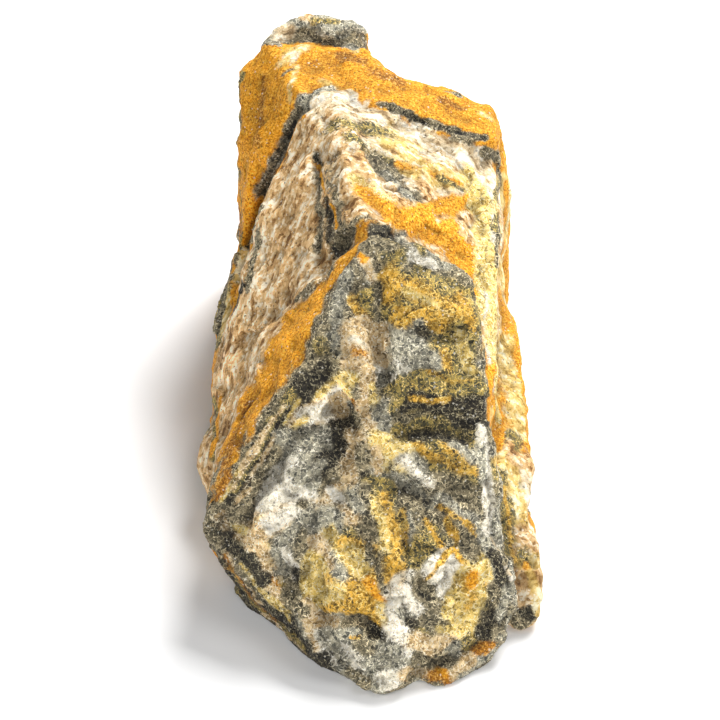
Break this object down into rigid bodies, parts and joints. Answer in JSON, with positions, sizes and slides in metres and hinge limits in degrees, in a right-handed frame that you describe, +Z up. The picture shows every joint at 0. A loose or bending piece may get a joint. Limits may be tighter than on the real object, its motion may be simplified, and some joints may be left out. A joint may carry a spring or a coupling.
{
  "type": "mineral specimen",
  "caption": "Telluride ore specimen for display: a rough elongated block with a sloping granular front face, ochre crusts, a stepped top and a small knob at the far end.",
  "frame": {"origin": "centre of the bounding box's underside, on the flat patch the stone rests on", "axes": "+Z up, +Y back along the stone from the pointed front face to the knob, +X to the right of the front face"},
  "size_m": [0.0362, 0.0744, 0.035],
  "materials": {
    "rock": "dull granular stone, ochre stained, with small bright grains"
  },
  "bodies": {
    "root": {"specimen": "rock"}
  },
  "joints": []
}
